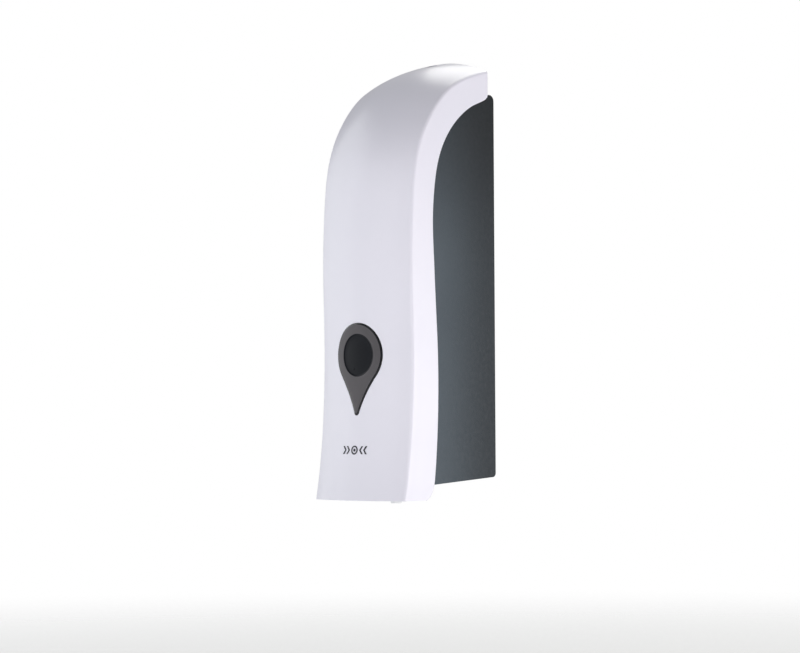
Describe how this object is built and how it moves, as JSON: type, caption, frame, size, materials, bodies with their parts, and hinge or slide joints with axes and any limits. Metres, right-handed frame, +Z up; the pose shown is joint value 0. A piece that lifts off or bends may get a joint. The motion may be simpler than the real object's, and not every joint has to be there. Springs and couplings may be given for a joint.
{
  "type": "wall mounted soap dispenser",
  "caption": "Slim wall soap dispenser: bowed white front cover with a teardrop level window, pressed to pump soap from a bottle in a grey rear housing out of a nozzle underneath.",
  "frame": {"origin": "midway between the two wall screws, on the wall plane at the back of the housing", "axes": "+Z up, -Y out into the room, +X to the right when facing the dispenser"},
  "size_m": [0.0604, 0.071, 0.2119],
  "materials": {
    "white_shell": "satin white",
    "grey_shell": "fine matt texture",
    "smoke_lens": "polished smoke tint",
    "mark_ink": "pad print",
    "bottle_clear": "translucent",
    "cap_white": "satin",
    "pump_white": "satin",
    "nozzle_white": "gloss",
    "seal_rubber": "matt",
    "valve_silicone": "translucent silicone",
    "steel": "turned",
    "lock_brass": "plated"
  },
  "bodies": {
    "housing": {"rear_housing": "grey_shell", "bottle": "bottle_clear", "bottle_outlet_seal": "seal_rubber", "pump_body": "pump_white", "pump_end_cap": "pump_white", "inlet_seat": "pump_white", "outlet_valve": "valve_silicone", "nozzle": "nozzle_white", "pump_clamp": "steel", "pump_screws": "steel", "pump_spring": "steel"},
    "hinge_pins": {"hinge_pin_left": "steel", "hinge_pin_right": "steel"},
    "front_cover": {"front_cover": "white_shell", "window_lens": "smoke_lens", "press_mark": "mark_ink"},
    "plunger": {"pump_piston": "pump_white", "piston_seal": "seal_rubber"},
    "lock": {"lock_barrel": "lock_brass", "lock_cam": "steel", "lock_clip": "steel"},
    "bottle_cap": {"bottle_cap": "cap_white", "cap_gasket": "seal_rubber"},
    "inlet_ball": {"inlet_ball": "steel"}
  },
  "joints": [
    {"name": "cover_press", "type": "hinge", "parent": "housing", "child": "hinge_pins", "pos_m": [0, -0.008, 0.0955], "axis": [1, 0, 0], "range_deg": [0, 2]},
    {"name": "cover_swing", "type": "hinge", "parent": "hinge_pins", "child": "front_cover", "pos_m": [0, -0.0485, -0.086], "axis": [1, 0, 0], "range_deg": [0, 95]},
    {"name": "plunger_slide", "type": "slide", "parent": "housing", "child": "plunger", "axis": [0, 1, 0], "range_m": [0, 0.006], "stiffness_N_per_m": 600, "springref_m": -0.008, "deforming": ["pump_spring"]},
    {"name": "lock_turn", "type": "hinge", "parent": "housing", "child": "lock", "pos_m": [0, -0.014, 0.0935], "axis": [0, 0, 1], "range_deg": [0, 90]},
    {"name": "cap_turn", "type": "hinge", "parent": "housing", "child": "bottle_cap", "pos_m": [0, -0.033, 0.07], "axis": [0, 0, 1], "range_deg": [0, 90]},
    {"name": "ball_lift", "type": "slide", "parent": "housing", "child": "inlet_ball", "axis": [0, 0, 1], "range_m": [0, 0.0012]}
  ],
  "couplings": [
    {"joint": "plunger_slide", "follows": "cover_press", "m_per_rad": 0.1718}
  ]
}
